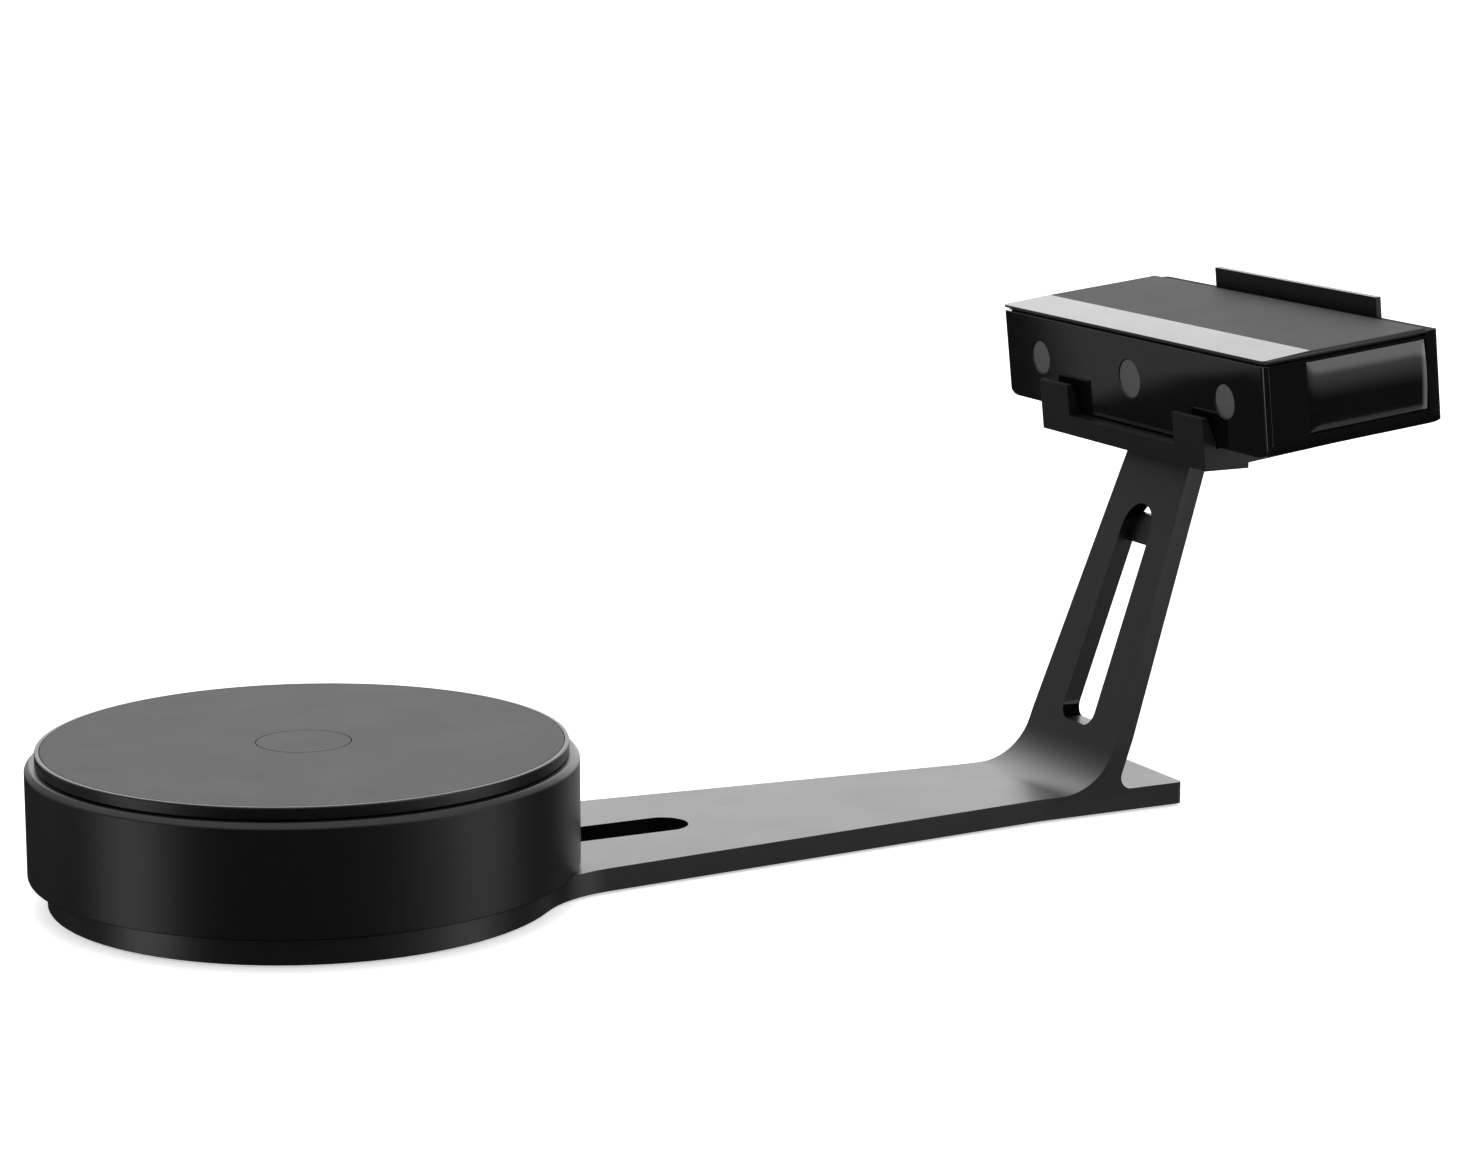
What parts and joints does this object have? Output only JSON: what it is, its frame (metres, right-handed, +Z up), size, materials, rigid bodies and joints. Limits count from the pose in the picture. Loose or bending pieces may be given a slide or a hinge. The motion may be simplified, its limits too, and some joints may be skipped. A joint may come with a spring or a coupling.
{
  "type": "desktop 3d scanner",
  "caption": "Desktop scanner: a motor-driven turntable and a removable two-camera scanning head on a one-piece stand with a leaning slotted column.",
  "frame": {"origin": "on the turntable's axis, at the face of the pad that the stand rests on", "axes": "+X along the arm from the turntable towards the column and head, +Z up along the platter's axis, +Y across"},
  "size_m": [0.559, 0.21, 0.2118],
  "materials": {
    "stand_black": "black satin paint",
    "matte_black": "fine texture",
    "gloss_black": "polished",
    "matte_grey": "fine texture",
    "rubber_black": "matte",
    "window_glass": "tinted",
    "lens_black": "matte",
    "steel": "turned",
    "zinc_steel": "plated",
    "brass": "turned",
    "aluminium": "milled",
    "board_green": "solder mask",
    "gear_nylon": "moulded"
  },
  "bodies": {
    "stand": {"stand_arm": "stand_black", "stand_pads": "rubber_black", "cable_clip": "matte_black", "head_cradle": "matte_black", "cradle_pads": "rubber_black", "cradle_screws": "zinc_steel"},
    "turntable": {"base_pan": "matte_black", "housing_shell": "matte_black", "turntable_feet": "rubber_black", "housing_screws": "zinc_steel", "spindle": "steel", "spindle_retainer": "zinc_steel", "bearing_inner_ring": "steel", "bearing_balls": "steel", "bearing_cage": "brass", "stepper_motor": "steel", "motor_bracket": "zinc_steel", "motor_screws": "zinc_steel", "turntable_board": "board_green", "turntable_socket": "matte_black"},
    "platter": {"bearing_outer_ring": "steel", "hub_bush": "brass", "platter": "matte_black", "platter_mat": "matte_grey", "platter_cap": "matte_grey", "platter_gear": "gear_nylon", "gear_screws": "zinc_steel"},
    "drive_pinion": {"motor_shaft": "steel", "pinion": "brass"},
    "head": {"head_bottom_shell": "matte_black", "head_top_cover": "matte_grey", "front_panel": "gloss_black", "left_side_panel": "gloss_black", "right_side_panel": "gloss_black", "rear_cap": "matte_black", "camera_windows": "window_glass", "projector_window": "window_glass", "optical_bench": "aluminium", "bench_screws": "zinc_steel", "left_camera": "matte_black", "right_camera": "matte_black", "camera_lenses": "lens_black", "projector_engine": "matte_black", "projector_lens": "lens_black", "heat_sink": "aluminium", "fan_frame": "matte_black", "main_board": "board_green", "board_chips": "lens_black", "usb_socket": "steel", "power_socket": "lens_black", "turntable_port": "lens_black", "button_switch": "lens_black", "tripod_insert": "brass", "shell_screws": "zinc_steel"},
    "fan": {"fan_rotor": "matte_black"},
    "power_button": {"power_button": "gloss_black"}
  },
  "joints": [
    {"name": "turntable_lift", "type": "slide", "parent": "stand", "child": "turntable", "axis": [0, 0, 1], "range_m": [0, 0.05]},
    {"name": "platter_spin", "type": "hinge", "parent": "turntable", "child": "platter", "pos_m": [0, 0, 0.05], "axis": [0, 0, 1], "continuous": true},
    {"name": "pinion_spin", "type": "hinge", "parent": "turntable", "child": "drive_pinion", "pos_m": [-0.07, 0, 0.05], "axis": [0, 0, 1], "continuous": true},
    {"name": "head_lift", "type": "slide", "parent": "stand", "child": "head", "axis": [-0.1045, 0, 0.9945], "range_m": [0, 0.06]},
    {"name": "fan_spin", "type": "hinge", "parent": "head", "child": "fan", "pos_m": [0.41952, 0.036, 0.17858], "axis": [0, 1, 0], "continuous": true},
    {"name": "button_press", "type": "slide", "parent": "head", "child": "power_button", "axis": [-0.9945, 0, -0.1045], "range_m": [0, 0.0008], "stiffness_N_per_m": 400, "springref_m": -0.001}
  ],
  "couplings": [
    {"joint": "pinion_spin", "follows": "platter_spin", "ratio": -6}
  ]
}
